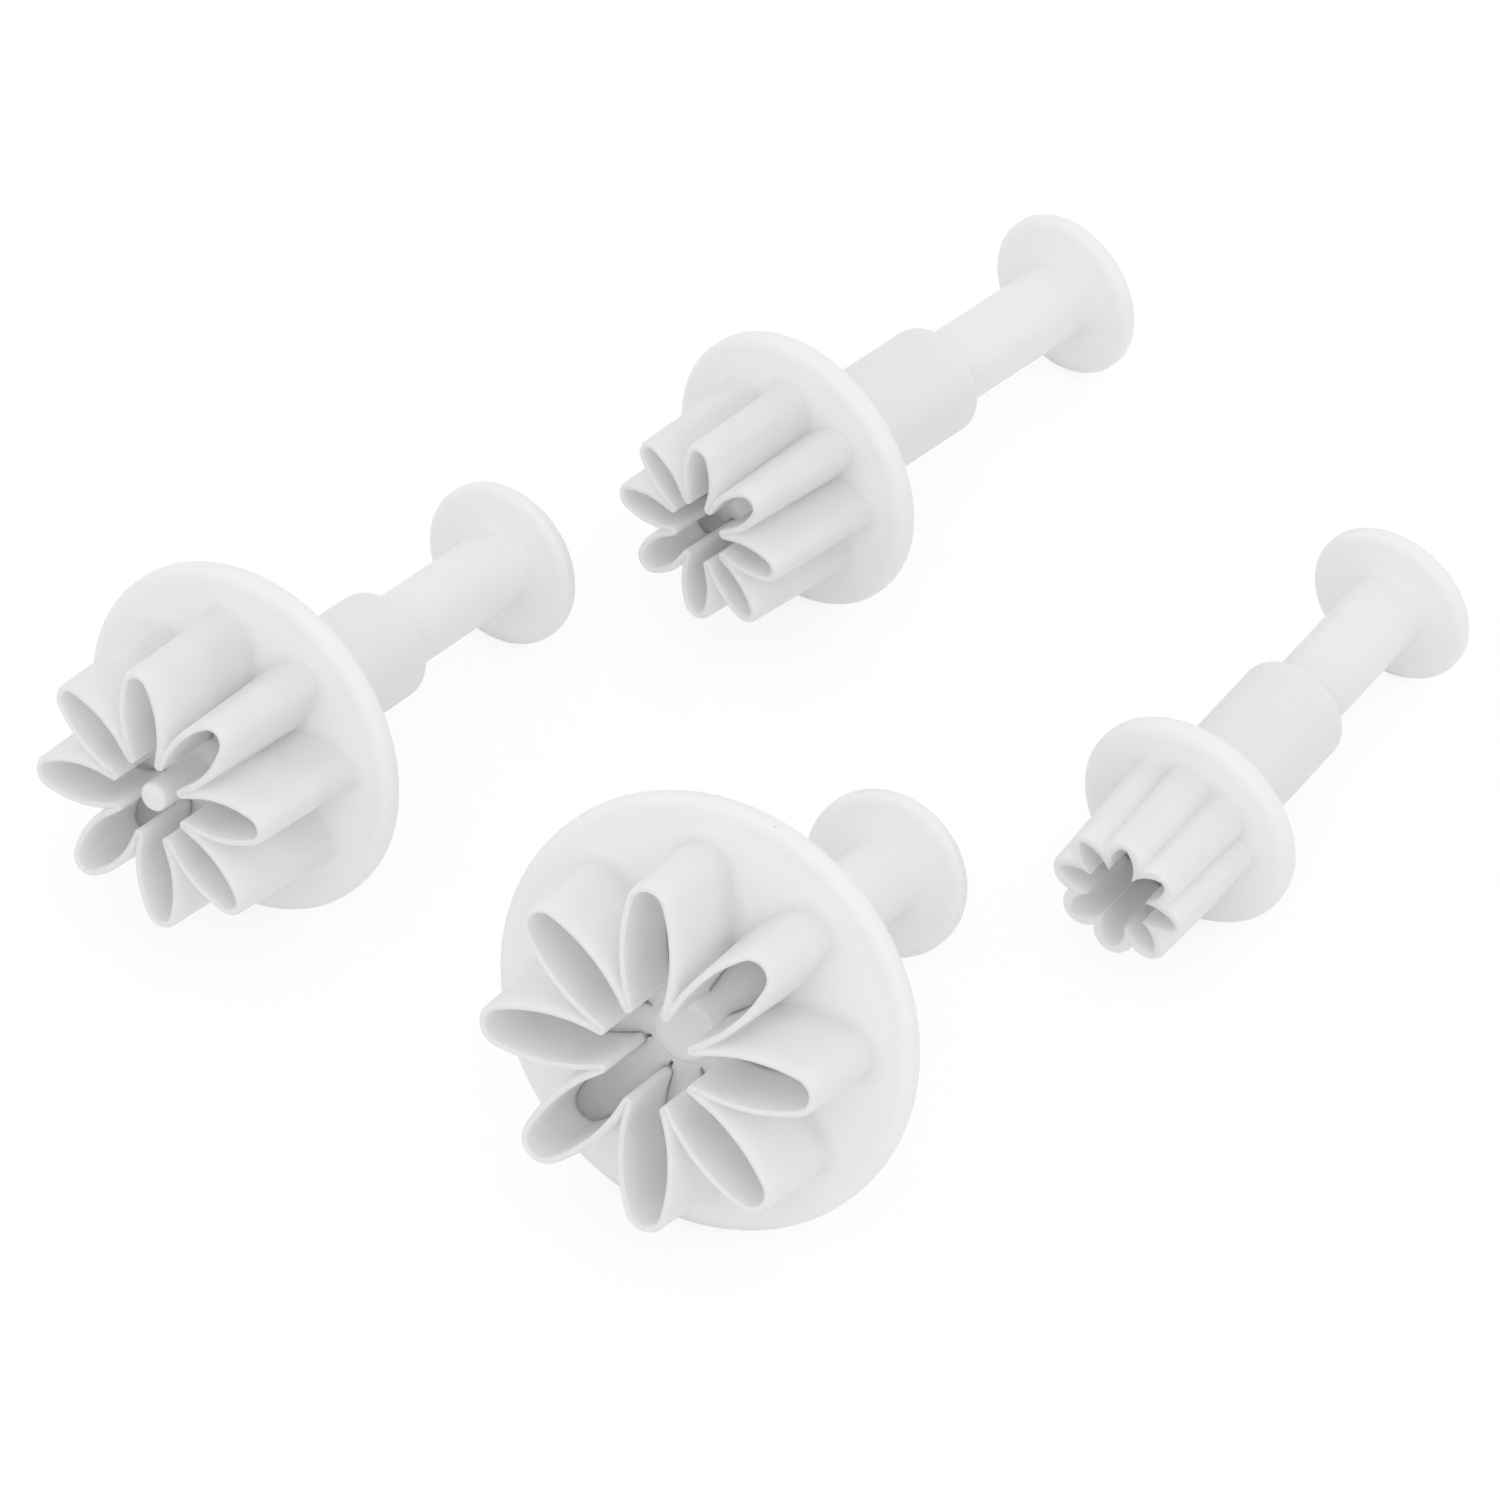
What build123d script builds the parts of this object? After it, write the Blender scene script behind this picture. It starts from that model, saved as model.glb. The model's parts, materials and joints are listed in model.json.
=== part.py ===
"""A graded set of four flower plunger cutters for sugarpaste and pastry, in millimetres.

Each cutter is one moulding: a thin flower wall on a round flange, with a barrel behind it.
A handle with a thumb button slides in the barrel and carries the embosser that presses the
petals' relief and pushes the cut shape out. A coil spring in the barrel draws it back.
Every cutter lies on a flat surface, on the rim of its flange and the rim of its button.
The frame is +Z up, the surface at zero, and the origin under the middle of the set.
"""
from build123d import *
import os
from math import asin, atan2, cos, degrees, hypot, pi, radians, sin, sqrt

# Sizes that one cutter of the set has for itself
extra_large_flower_radius = 17.5
large_flower_radius = 13.5
medium_flower_radius = 10.0
small_flower_radius = 7.1
extra_large_flange_margin = 4.3
large_flange_margin = 4.4
medium_flange_margin = 4.4
small_flange_margin = 4.3
extra_large_wall_depth = 11.6
large_wall_depth = 14.1
medium_wall_depth = 13.9
small_wall_depth = 12.4
extra_large_face_depth = 8.0
large_face_depth = 7.5
medium_face_depth = 7.0
small_face_depth = 8.5
extra_large_barrel_length = 17.0
large_barrel_length = 20.6
medium_barrel_length = 19.8
small_barrel_length = 18.3
extra_large_rod_showing = 17.0
large_rod_showing = 18.4
medium_rod_showing = 18.8
small_rod_showing = 17.3

# The flower wall: a thin cutting edge, a slight draft and a cove where it meets the flange
petal_count = 8
wall_thickness = 0.55
edge_bevel = 0.15
edge_bevel_depth = 0.4
wall_draft = 0.4
hollow_corner_round = 0.1
extra_large_cove_radius = 1.4
large_cove_radius = 1.4
medium_cove_radius = 1.2
small_cove_radius = 0.9
cove_sink = 0.04
cove_steps = 2

# The flange, with its front sunk inside a raised rim, and the barrel behind it. The bevel at the
# barrel's mouth takes no more than its share of the wall.
flange_thickness = 2.0
flange_rim_rise = 0.3
flange_rim_width = 1.1
flange_rim_slope = 1.2
flange_rim_bevel = 0.6
barrel_radius = 5.6
barrel_mouth_bevel = 0.8
mouth_bevel_wall_share = 0.5

# The handle: a rod with a dished thumb button
rod_radius = 3.85
rod_clearance = 0.1
rod_end_chamfer = 0.4
button_radius = 8.45
button_thickness = 1.5
button_rim_rise = 0.25
button_rim_width = 1.0
button_rim_slope = 1.2
button_rim_round = 0.65
button_hollow_round = 1.0
button_root_round = 1.0

# The embosser: a petal plate on a hub, with a shaft pressed into the rod
embosser_clearance = 0.2
plate_thickness = 2.2
hub_radius = 3.2
hub_gap = 0.2
shaft_radius = 2.0
shaft_clearance = 0.1
socket_clearance = 0.02
socket_depth = 8.0
shaft_end_chamfer = 0.3

# Relief of the embosser's face
trough_depth = 0.55
trough_fall_degrees = 6.0
trough_start_share = 0.46
trough_run_share = 0.75
ring_rise = 0.35
ring_round = 0.3
dimple_radius = 2.9
dimple_depth = 0.9
stud_radius = 1.4
stud_reach = 1.0
stud_round = 0.5

# The return spring, of round wire
wire_diameter = 0.5
spring_mean_radius = 3.1
spring_turns = 7
spring_spare_length = 1.5
spring_seat_gap = 0.05
quarters_in_turn = 4

# How far the embosser's face passes the cutting edge when the button is pressed home
eject_overrun = 1.0

# Where each cutter lies: the middle of its cutting edge, as shares of the set's spread,
# the way it points, counted from +X, and how far it is rolled about its own axis
set_spread = 100.0
extra_large_place_share = (-0.101, -0.623)
large_place_share = (-0.571, -0.259)
medium_place_share = (-0.056, 0.135)
small_place_share = (0.341, -0.305)
extra_large_heading = 60.0
large_heading = 53.0
medium_heading = 48.3
small_heading = 57.1
extra_large_roll = 34.2
large_roll = 30.0
medium_roll = 38.8
small_roll = 48.2

# Petal outlines as shares of the flower radius: half the petal's width, how far out it is
# widest, and how far out neighbouring petals meet. The small flower is only lobed outside,
# so its hollow has petals of its own.
extra_large_petal_shares = (0.165, 0.60, 0.30)
large_petal_shares = (0.180, 0.60, 0.33)
medium_petal_shares = (0.190, 0.62, 0.36)
small_petal_shares = (0.278, 0.71, 0.716)
small_hollow_shares = (0.212, 0.60, 0.52)

overrun = 1.0
half_petal_angle = pi / petal_count
full_turn = 2 * pi


class Flower:
    """The sizes of an eight-petalled outline."""

    def __init__(self, radius, petal_shares):
        half_width_share, widest_share, valley_share = petal_shares
        self.radius = radius
        self.half_width = half_width_share * radius
        self.widest = widest_share * radius
        self.valley_radius = valley_share * radius


class Cutter:
    """The sizes of one cutter, and what follows from them. Along its axis, zero is the cutting edge."""

    def __init__(self, name, flower_radius, flange_margin, wall_depth, face_depth, barrel_length,
                 rod_showing, cove_radius, petal_shares, place_share, heading, roll,
                 hollow_shares=None):
        self.name = name
        self.flower = Flower(flower_radius, petal_shares)
        self.hollow = self.flower
        self.hollow_growth = -wall_thickness
        if hollow_shares:
            self.hollow = Flower(flower_radius - wall_thickness, hollow_shares)
            self.hollow_growth = -hollow_corner_round
        self.flange_radius = flower_radius + flange_margin
        self.wall_depth = wall_depth
        self.face_depth = face_depth
        self.cove_radius = cove_radius
        self.place = [share * set_spread for share in place_share]
        self.heading = radians(heading)
        self.roll = radians(roll)
        self.travel = face_depth + eject_overrun
        self.barrel_start = wall_depth + flange_thickness
        self.barrel_end = self.barrel_start + barrel_length
        self.spring_length = self.travel + spring_turns * wire_diameter + spring_spare_length
        self.rod_start = self.barrel_start + self.spring_length
        self.button_start = self.barrel_end + rod_showing
        self.button_end = self.button_start + button_thickness


def on_circle(centre, radius, angle):
    """The point of a circle at an angle from +X."""
    return (centre[0] + radius * cos(angle), centre[1] + radius * sin(angle))


def turned_about_axis(point, angle):
    """A point turned about the origin."""
    x, y = point
    return (x * cos(angle) - y * sin(angle), x * sin(angle) + y * cos(angle))


def circle_arc(centre, radius, start, end):
    """The arc of a circle between two angles."""
    middle = (start + end) / 2
    return ThreePointArc(*[on_circle(centre, radius, angle) for angle in (start, middle, end)])


def petal_curves(flower, growth):
    """Centre, radius and end angle of a petal's upper side and tip, grown, and where petals meet."""
    width = flower.half_width
    valley = on_circle((0, 0), flower.valley_radius, half_petal_angle)
    rise = width - valley[1]
    side_radius = ((flower.widest - valley[0]) ** 2 + rise ** 2) / (2 * rise)
    side_centre = (flower.widest, width - side_radius)
    beyond = flower.radius - flower.widest
    tip_radius = (2 * side_radius * width - beyond ** 2 - width ** 2) / (2 * (side_radius - beyond))
    tip_centre = (flower.radius - tip_radius, 0)
    tip_angle = atan2(-side_centre[1], tip_centre[0] - side_centre[0])
    grown_radius = side_radius + max(growth, 0)
    along = hypot(*side_centre) * cos(half_petal_angle - atan2(side_centre[1], side_centre[0]))
    root = along ** 2 - hypot(*side_centre) ** 2 + grown_radius ** 2
    meeting = on_circle((0, 0), along + sqrt(root), half_petal_angle)
    meeting_angle = atan2(meeting[1] - side_centre[1], meeting[0] - side_centre[0])
    side = (side_centre, side_radius + growth, meeting_angle)
    return side, (tip_centre, tip_radius + growth, tip_angle), meeting


def flower_face(flower, growth, height=0):
    """The flower's outline as a face. Growth is measured square to the outline, inwards if below zero."""
    side, tip, meeting = petal_curves(flower, growth)
    side_centre, side_radius, meeting_angle = side
    tip_centre, tip_radius, tip_angle = tip
    lower_centre = (side_centre[0], -side_centre[1])
    petal = [
        (lower_centre, side_radius, -meeting_angle, -tip_angle),
        (tip_centre, tip_radius, -tip_angle, tip_angle),
        (side_centre, side_radius, tip_angle, meeting_angle),
    ]
    if growth < 0:
        petal.append((meeting, -growth, meeting_angle + pi, 2 * half_petal_angle - meeting_angle + pi))
    edges = []
    for number in range(petal_count):
        turn = number * 2 * half_petal_angle
        for centre, radius, start, end in petal:
            edges.append(circle_arc(turned_about_axis(centre, turn), radius, start + turn, end + turn))
    return Pos(0, 0, height) * make_face(Wire(edges))


def turned_solid(corners):
    """A solid turned about the axis from corners given as radius, height and rounding."""
    points = [(radius, height) for radius, height, rounding in corners]
    roundings = [rounding for radius, height, rounding in corners]
    if any(roundings):
        outline = FilletPolyline(*points, radius=roundings, close=True)
    else:
        outline = Polyline(*points, close=True)
    return revolve(Plane.XZ * make_face(outline), Axis.Z)


def flower_wall(cutter):
    """The petals' thin wall: bevelled edge, drafted side, and the cove that roots in the flange."""
    cove = cutter.cove_radius
    cove_start = cutter.wall_depth - cove + cove_sink
    root_growth = edge_bevel + wall_draft
    levels = [(0, 0), (edge_bevel_depth, edge_bevel)]
    for step in range(cove_steps + 1):
        angle = pi / 2 * step / cove_steps
        levels.append((cove_start + cove * sin(angle), root_growth + cove * (1 - cos(angle))))
    levels.append((cutter.wall_depth + flange_thickness / 2, root_growth + cove))
    sections = []
    for height, growth in levels:
        sections.append(flower_face(cutter.flower, growth, height))
    hollow_face = flower_face(cutter.hollow, cutter.hollow_growth, -overrun)
    return loft(sections, ruled=True) - extrude(hollow_face, cutter.barrel_start + overrun)


def cutter_shell(cutter):
    """Flower wall, flange and barrel in one moulding, hollow at both ends with a floor between."""
    front = cutter.wall_depth
    rim_front = front - flange_rim_rise
    rim_flat = cutter.flange_radius - flange_rim_width
    back = cutter.barrel_start
    mouth = cutter.barrel_end
    hole = shaft_radius + shaft_clearance
    bore = rod_radius + rod_clearance
    mouth_bevel = min(barrel_mouth_bevel, (barrel_radius - bore) * mouth_bevel_wall_share)
    body = turned_solid([
        (hole, front, 0),
        (rim_flat - flange_rim_slope, front, 0),
        (rim_flat, rim_front, 0),
        (cutter.flange_radius - flange_rim_bevel, rim_front, 0),
        (cutter.flange_radius, rim_front + flange_rim_bevel, 0),
        (cutter.flange_radius, back - flange_rim_bevel, 0),
        (cutter.flange_radius - flange_rim_bevel, back, 0),
        (barrel_radius, back, 0),
        (barrel_radius, mouth - mouth_bevel, 0),
        (barrel_radius - mouth_bevel, mouth, 0),
        (bore, mouth, 0),
        (bore, back, 0),
        (hole, back, 0),
    ])
    return body + flower_wall(cutter)


def petal_trough(cutter):
    """The rounded groove that dishes one petal of the embosser, falling towards the petal's tip."""
    start = trough_start_share * cutter.hollow.radius
    run = trough_run_share * cutter.hollow.radius
    half_width = cutter.hollow.half_width + cutter.hollow_growth - embosser_clearance
    radius = (half_width ** 2 + trough_depth ** 2) / (2 * trough_depth)
    bottom = cutter.face_depth + trough_depth
    fall = radians(trough_fall_degrees)
    groove = Plane(origin=(start, 0, bottom - radius), z_dir=(cos(fall), 0, sin(fall)))
    bar = groove * Cylinder(radius, run, align=(Align.CENTER, Align.CENTER, Align.MIN))
    return bar + Pos(start, 0, bottom - radius) * Sphere(radius)


def embosser_middle(cutter):
    """The raised middle of the embosser: a stud in the large one, a dimpled ring in the others."""
    face = cutter.face_depth
    if cutter.name == "large":
        return turned_solid([
            (0, stud_reach, 0),
            (stud_radius, stud_reach, stud_round),
            (stud_radius, face + plate_thickness / 2, 0),
            (0, face + plate_thickness / 2, 0),
        ])
    ring = cutter.hollow.valley_radius + cutter.hollow_growth - 2 * embosser_clearance
    disc = turned_solid([
        (0, face - ring_rise, 0),
        (ring, face - ring_rise, ring_round),
        (ring, face + plate_thickness / 2, 0),
        (0, face + plate_thickness / 2, 0),
    ])
    mouth = min(dimple_radius, ring * dimple_radius / (dimple_radius + dimple_depth))
    depth = dimple_depth * mouth / dimple_radius
    ball = (mouth ** 2 + depth ** 2) / (2 * depth)
    return disc - Pos(0, 0, face - ring_rise + depth - ball) * Sphere(ball)


def embosser(cutter):
    """The petal plate with its relief, its hub and the shaft that goes into the rod."""
    face = cutter.face_depth
    growth = cutter.hollow_growth - embosser_clearance
    plate = extrude(flower_face(cutter.hollow, growth, face), plate_thickness)
    trough = petal_trough(cutter)
    for number in range(petal_count):
        plate -= Rot(0, 0, number * degrees(full_turn) / petal_count) * trough
    hub = min(hub_radius, cutter.hollow.valley_radius + growth)
    shaft_end = cutter.rod_start + socket_depth
    stem = turned_solid([
        (0, face + plate_thickness / 2, 0),
        (hub, face + plate_thickness / 2, 0),
        (hub, cutter.wall_depth - hub_gap, 0),
        (shaft_radius, cutter.wall_depth - hub_gap, 0),
        (shaft_radius, shaft_end, shaft_end_chamfer),
        (0, shaft_end, 0),
    ])
    return plate + stem + embosser_middle(cutter)


def handle(cutter):
    """The rod and its thumb button in one moulding, with the blind socket for the shaft."""
    socket = shaft_radius + socket_clearance
    front = cutter.button_start
    rim_front = front - button_rim_rise
    socket_end = cutter.rod_start + socket_depth
    return turned_solid([
        (socket, cutter.rod_start, 0),
        (rod_radius, cutter.rod_start, rod_end_chamfer),
        (rod_radius, front, button_root_round),
        (button_radius - button_rim_width - button_rim_slope, front, button_hollow_round),
        (button_radius - button_rim_width, rim_front, button_hollow_round / 2),
        (button_radius, rim_front, button_rim_round),
        (button_radius, cutter.button_end, button_rim_round),
        (0, cutter.button_end, 0),
        (0, socket_end, 0),
        (socket, socket_end, 0),
    ])


def biarc(start, start_way, end, end_way):
    """Two arcs that leave one point and reach another in the given directions."""
    span = end - start
    ways = start_way + end_way
    reach = span.dot(ways)
    spread = 2 * (1 - start_way.dot(end_way))
    handle_length = (sqrt(reach ** 2 + spread * span.dot(span)) - reach) / spread
    middle = (start + start_way * handle_length + end - end_way * handle_length) / 2
    first = TangentArc(start, middle, tangent=start_way)
    return [first, TangentArc(middle, end, tangent=first % 1)]


def coil_line(cutter):
    """The middle line of the spring's wire, in quarter turns, with a straight stretch at each end."""
    low = cutter.barrel_start + spring_seat_gap + wire_diameter / 2
    high = cutter.rod_start - spring_seat_gap - wire_diameter / 2
    steps = spring_turns * quarters_in_turn
    pitch = (high - low) / spring_turns
    climb = atan2(pitch, full_turn * spring_mean_radius)
    points = []
    ways = []
    for step in range(steps + 1):
        angle = full_turn * step / quarters_in_turn
        x, y = on_circle((0, 0), spring_mean_radius, angle)
        points.append(Vector(x, y, low + (high - low) * step / steps))
        ways.append(Vector(-sin(angle) * cos(climb), cos(angle) * cos(climb), sin(climb)))
    edges = [Line(points[0] - Vector(0, wire_diameter, 0), points[0])]
    for step in range(steps):
        edges += biarc(points[step], ways[step], points[step + 1], ways[step + 1])
    edges.append(Line(points[-1], points[-1] + Vector(ways[-1].X, ways[-1].Y, 0) * wire_diameter))
    return edges, points


def least_coil_gap(cutter):
    """The least gap between turns of the wire, measured on points along its middle line."""
    edges, points = coil_line(cutter)
    samples = [edge @ share for edge in edges for share in (0, 0.5)]
    per_turn = 2 * 2 * quarters_in_turn
    gaps = []
    for first, point in enumerate(samples):
        for other in samples[first + per_turn // 2:]:
            gaps.append((point - other).length - wire_diameter)
    return min(gaps)


def spring(cutter):
    """The return spring as one unbroken wire."""
    edges, points = coil_line(cutter)
    path = Wire(edges)
    section = Plane(origin=path @ 0, z_dir=path % 0) * Circle(wire_diameter / 2)
    return sweep(section, path=path)


def resting_plane(cutter):
    """The cutter's own axes where it lies: on the back corner of its flange and its button's round rim."""
    flange_edge = (cutter.flange_radius, cutter.barrel_start - flange_rim_bevel)
    button_edge = (button_radius - button_rim_round, cutter.button_end - button_rim_round)
    along = button_edge[1] - flange_edge[1]
    across = flange_edge[0] - button_edge[0]
    tilt = atan2(across, along) - asin(button_rim_round / hypot(along, across))
    height = flange_edge[1] * sin(tilt) + flange_edge[0] * cos(tilt)
    axis = Vector(cos(tilt) * cos(cutter.heading), cos(tilt) * sin(cutter.heading), -sin(tilt))
    level = Vector(-sin(cutter.heading), cos(cutter.heading), 0)
    steep = axis.cross(level)
    petal_way = level * cos(cutter.roll) + steep * sin(cutter.roll)
    return Plane(origin=(*cutter.place, height), x_dir=petal_way, z_dir=axis)


cutters = [
    Cutter("extra_large", extra_large_flower_radius, extra_large_flange_margin, extra_large_wall_depth,
           extra_large_face_depth, extra_large_barrel_length, extra_large_rod_showing,
           extra_large_cove_radius, extra_large_petal_shares, extra_large_place_share,
           extra_large_heading, extra_large_roll),
    Cutter("large", large_flower_radius, large_flange_margin, large_wall_depth, large_face_depth,
           large_barrel_length, large_rod_showing, large_cove_radius, large_petal_shares,
           large_place_share, large_heading, large_roll),
    Cutter("medium", medium_flower_radius, medium_flange_margin, medium_wall_depth, medium_face_depth,
           medium_barrel_length, medium_rod_showing, medium_cove_radius, medium_petal_shares,
           medium_place_share, medium_heading, medium_roll),
    Cutter("small", small_flower_radius, small_flange_margin, small_wall_depth, small_face_depth,
           small_barrel_length, small_rod_showing, small_cove_radius, small_petal_shares,
           small_place_share, small_heading, small_roll, small_hollow_shares),
]

pieces = {}
for cutter in cutters:
    place = resting_plane(cutter).location
    pieces[cutter.name + "_cutter"] = place * cutter_shell(cutter)
    pieces[cutter.name + "_embosser"] = place * embosser(cutter)
    pieces[cutter.name + "_spring"] = place * spring(cutter)
    pieces[cutter.name + "_handle"] = place * handle(cutter)

boxes = [piece.bounding_box() for piece in pieces.values()]
low = [min(limits) for limits in zip(*[tuple(box.min) for box in boxes])]
high = [max(limits) for limits in zip(*[tuple(box.max) for box in boxes])]
origin = Vector((low[0] + high[0]) / 2, (low[1] + high[1]) / 2, low[2])

os.makedirs("parts", exist_ok=True)
for name, piece in pieces.items():
    export_step(Pos(-origin) * piece, "parts/" + name + ".step")

for cutter in cutters:
    plane = resting_plane(cutter)
    thumb = plane.origin + plane.z_dir * cutter.button_end - origin
    print(cutter.name, "least gap between turns", round(least_coil_gap(cutter), 3), "mm")
    print(cutter.name, "axis", [round(value, 6) for value in plane.z_dir])
    print(cutter.name, "button back", [round(value, 4) for value in thumb], "travel", cutter.travel)
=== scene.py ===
"""The set of four flower plunger cutters, dressed for its picture.

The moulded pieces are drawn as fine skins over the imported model's own sizes: every cutter lies
where its plunger's axis and thumb face say. Lengths are in millimetres until a mesh is made.
"""
import json
from math import atan2, cos, pi, radians, sin, sqrt, tan

import bmesh
import bpy
import numpy as np
from mathutils import Matrix, Vector


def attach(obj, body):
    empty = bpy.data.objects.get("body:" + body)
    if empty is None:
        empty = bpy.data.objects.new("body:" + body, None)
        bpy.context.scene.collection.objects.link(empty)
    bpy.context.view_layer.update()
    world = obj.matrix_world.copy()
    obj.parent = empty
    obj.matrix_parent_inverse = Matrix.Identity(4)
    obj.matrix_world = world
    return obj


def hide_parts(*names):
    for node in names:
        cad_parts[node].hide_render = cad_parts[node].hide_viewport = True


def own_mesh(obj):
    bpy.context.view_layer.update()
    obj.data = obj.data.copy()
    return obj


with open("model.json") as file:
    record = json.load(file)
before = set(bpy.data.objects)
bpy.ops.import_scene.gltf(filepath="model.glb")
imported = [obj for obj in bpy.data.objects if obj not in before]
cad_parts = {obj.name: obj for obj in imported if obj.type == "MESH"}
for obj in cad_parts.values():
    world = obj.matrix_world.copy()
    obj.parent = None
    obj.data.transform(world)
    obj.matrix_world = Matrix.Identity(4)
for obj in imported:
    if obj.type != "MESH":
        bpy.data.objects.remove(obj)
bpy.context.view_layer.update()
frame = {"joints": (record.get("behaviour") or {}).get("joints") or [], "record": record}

MILLIMETRE = 0.001

# Camera: the photograph's long lens, looking down at the middle of the set
CAMERA_LENS = 336.0
CAMERA_SENSOR = 36.0
CAMERA_ELEVATION = 46.81
CAMERA_DISTANCE = 1350.0
CAMERA_TARGET = (-0.8867, 6.4992, 0.0)

# The flower: eight petals round the axis
PETALS = 8
HALF_PETAL = pi / PETALS
WALL_THICKNESS = 0.55
WALL_DRAFT = 0.4
EDGE_BEVEL = 0.15
EDGE_BEVEL_DEPTH = 0.4
EDGE_ROUND = 0.14
HOLLOW_CORNER = 0.1
VALLEY_SOFTNESS = 0.25
COVE_SOFTNESS_SHARE = 0.9

# Flange and barrel
FLANGE_THICKNESS = 2.0
FLANGE_RIM_RISE = 0.3
FLANGE_RIM_WIDTH = 1.1
FLANGE_RIM_SLOPE = 1.2
FLANGE_RIM_ROUND = 0.85
FLANGE_HOLLOW_ROUND = 1.5
RIM_INSET = 0.05
BARREL_RADIUS = 5.6
BARREL_MOUTH_ROUND = 1.0
BARREL_FOOT_ROUND = 0.9
BORE_RADIUS = 3.95
BORE_MOUTH_ROUND = 0.15
SHAFT_HOLE_RADIUS = 2.1

# Handle
ROD_RADIUS = 3.85
ROD_CHAMFER = 0.4
BUTTON_RADIUS = 8.45
BUTTON_THICKNESS = 1.5
BUTTON_RIM_RISE = 0.25
BUTTON_RIM_WIDTH = 1.0
BUTTON_RIM_SLOPE = 1.2
BUTTON_RIM_ROUND = 0.65
BUTTON_HOLLOW_ROUND = 1.0
BUTTON_ROOT_ROUND = 1.0
BUTTON_CAP_RADIUS = 0.5

# Embosser
EMBOSSER_GAP = 0.06
PLATE_THICKNESS = 2.2
PLATE_EDGE_ROUND = 0.18
HUB_RADIUS = 3.2
HUB_GAP = 0.2
SHAFT_RADIUS = 2.0
SHAFT_CHAMFER = 0.3
SOCKET_RADIUS = 2.02
SOCKET_DEPTH = 8.0
DISH_DEPTH = 0.6
DISH_FALL = 0.09
DISH_START_SHARE = 0.36
DISH_FULL_SHARE = 0.60
RING_ROUND = 0.3
RING_SETBACK = 0.3
DIMPLE_SHARE = 0.7
DIMPLE_DEPTH_SHARE = 0.22
DIMPLE_LIP_ROUND = 0.2
STUD_RADIUS = 1.5
STUD_REACH = 0.6
STUD_ROUND = 0.5
STUD_FOOT_ROUND = 0.4
STUD_CAP_RADIUS = 0.2
NOTCH_HALF_WIDTH = 0.17

# Return spring of round wire
WIRE_DIAMETER = 0.5
SPRING_RADIUS = 3.1
SPRING_TURNS = 7
SPRING_SPARE = 1.5
SPRING_SEAT_GAP = 0.05
SPRING_EASE = 0.08
EJECT_OVERRUN = 1.0

# Sizes of the plastic's own texture
FLOW_WIDTH = 9.0
GRAIN_WIDTH = 0.35
GRAIN_HEIGHT = 0.01
SPECK_SPACING = 7.0
SPECK_WIDTH = 0.16
SPECK_SHARE = 0.3
GLOW_DEPTH = 2.0
GLOSS_SPREAD = 0.05
DIE_LINE_WIDTH = 0.08

# The room, in metres and watts
FLOOR_SPAN = 6.0
FLOOR_WHITE = 0.9
FLOOR_SEEN_WHITE = 0.3
FLOOR_LIFT = 0.75
ROOM_LIGHT = 0.83
LAMP_SIZE = 1.8
LAMP_PLACE = (0.2, -0.8, 1.3)
LAMP_POWER = 2.3

# How finely the skins are divided
POINTS_IN_HALF_PETAL = 34
STEPS_IN_ROUND = 6
STEPS_IN_COVE = 12
STEPS_ON_FLANGE = 20
STEPS_ON_PLATE = 36
STEPS_IN_TURN = 28
POINTS_ROUND_WIRE = 12
POINTS_ROUND_HANDLE = 160
FINE_ANGLES = 1500
SPACING_SOFTNESS = 0.3
HALVINGS = 44
NEAREST_VALLEY_SHARE = 0.95
LONG_FLAT = 1.0
FLAT_INSET = 0.12
LEVEL_SLACK = 0.01
HOLLOW_RING_SHARES = (0.99, 0.84, 0.68, 0.52, 0.36, 0.2, 0.1, 0.04)
WALL_RING_SHARES = (0.0, 0.1, 0.25, 0.4, 0.55, 0.7, 0.8, 0.9)
BOWL_RING_SHARES = (0.08, 0.2, 0.35, 0.5, 0.65, 0.8, 0.92)


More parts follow.
